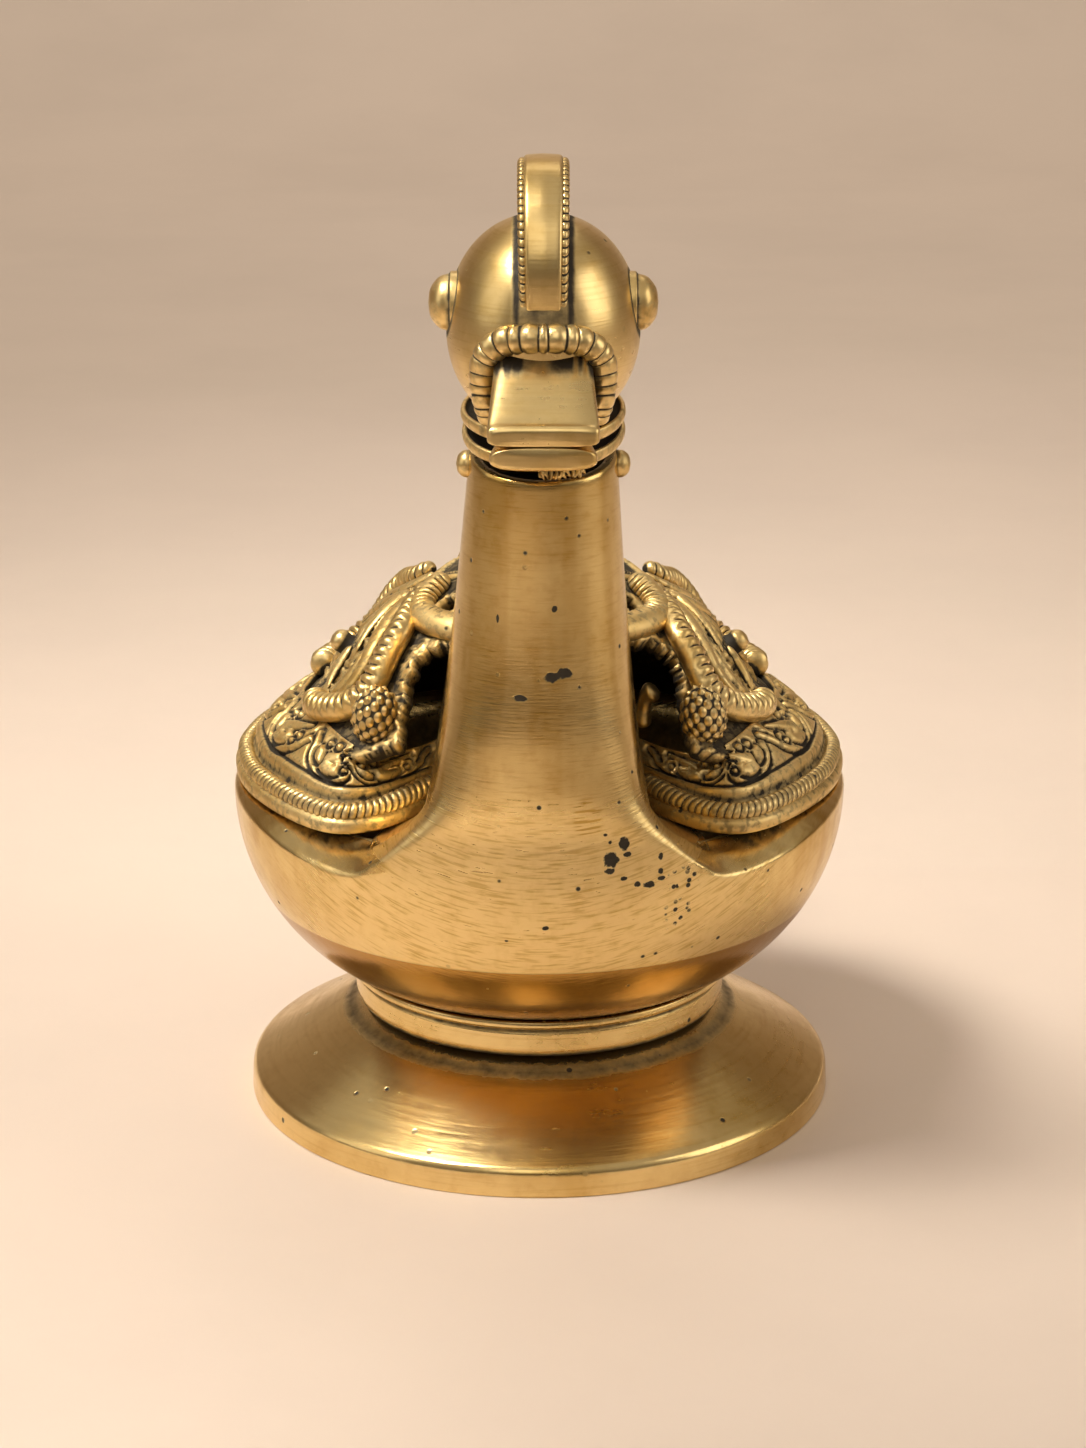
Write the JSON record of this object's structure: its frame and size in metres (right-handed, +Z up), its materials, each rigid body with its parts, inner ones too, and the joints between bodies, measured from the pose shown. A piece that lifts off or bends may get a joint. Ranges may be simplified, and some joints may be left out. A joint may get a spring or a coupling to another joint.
{
  "type": "diya oil lamp",
  "caption": "Cast brass oil lamp shaped as a bird, a bowl on a conical foot with neck, crested head, tail and a pierced domed lid that hinges open at the back.",
  "frame": {"origin": "on the table under the foot's axis", "axes": "+Z up, the bird looks along -Y, +X to the right of someone facing the bird"},
  "size_m": [0.0786, 0.108, 0.1271],
  "materials": {
    "polished_brass": "polished cast brass with fine brush marks and casting pits",
    "turned_brass": "turned brass with fine circular marks",
    "fitting_brass": "worn brass, dull where it is touched seldom",
    "cast_brass": "cast brass, worn bright on its high places",
    "lid_brass": "embossed cast brass with dark patina in its recesses",
    "rope_brass": "ribbed cast brass, bright on its ribs and dark between them",
    "cotton": "twisted cotton"
  },
  "bodies": {
    "lamp": {"foot": "polished_brass", "body": "polished_brass", "head": "polished_brass", "beak_upper": "polished_brass", "foot_collar": "turned_brass", "collar_ring_lower": "turned_brass", "collar_ring_upper": "turned_brass", "wick_holder": "turned_brass", "foot_screw": "fitting_brass", "foot_washer": "fitting_brass", "neck_pin": "fitting_brass", "hinge_pin": "fitting_brass", "hinge_lug_left": "fitting_brass", "hinge_lug_right": "fitting_brass", "tail_rivet_left": "fitting_brass", "tail_rivet_right": "fitting_brass", "beak_lower": "cast_brass", "crest": "cast_brass", "eye_left": "cast_brass", "eye_right": "cast_brass", "tail": "cast_brass", "crest_rope_left": "rope_brass", "crest_rope_right": "rope_brass", "beak_rope": "rope_brass", "cotton_wick": "cotton"},
    "lid": {"lid": "lid_brass", "lid_knuckle": "fitting_brass", "lid_rope_border": "rope_brass", "lid_vine_front_right": "rope_brass", "lid_vine_front_left": "rope_brass", "lid_vine_back_right": "rope_brass", "lid_vine_back_left": "rope_brass", "lid_bud_front_right": "rope_brass", "lid_bud_front_left": "rope_brass", "lid_bud_back_right": "rope_brass", "lid_bud_back_left": "rope_brass", "lid_knob_left": "rope_brass", "lid_knob_right": "rope_brass", "lid_arch_front": "lid_brass", "lid_arch_back": "lid_brass", "lid_thumb_tab": "cast_brass"}
  },
  "joints": [
    {"name": "lid_hinge", "type": "hinge", "parent": "lamp", "child": "lid", "pos_m": [0, 0.0421, 0.04472], "axis": [-1, 0, 0], "range_deg": [0, 95]}
  ]
}
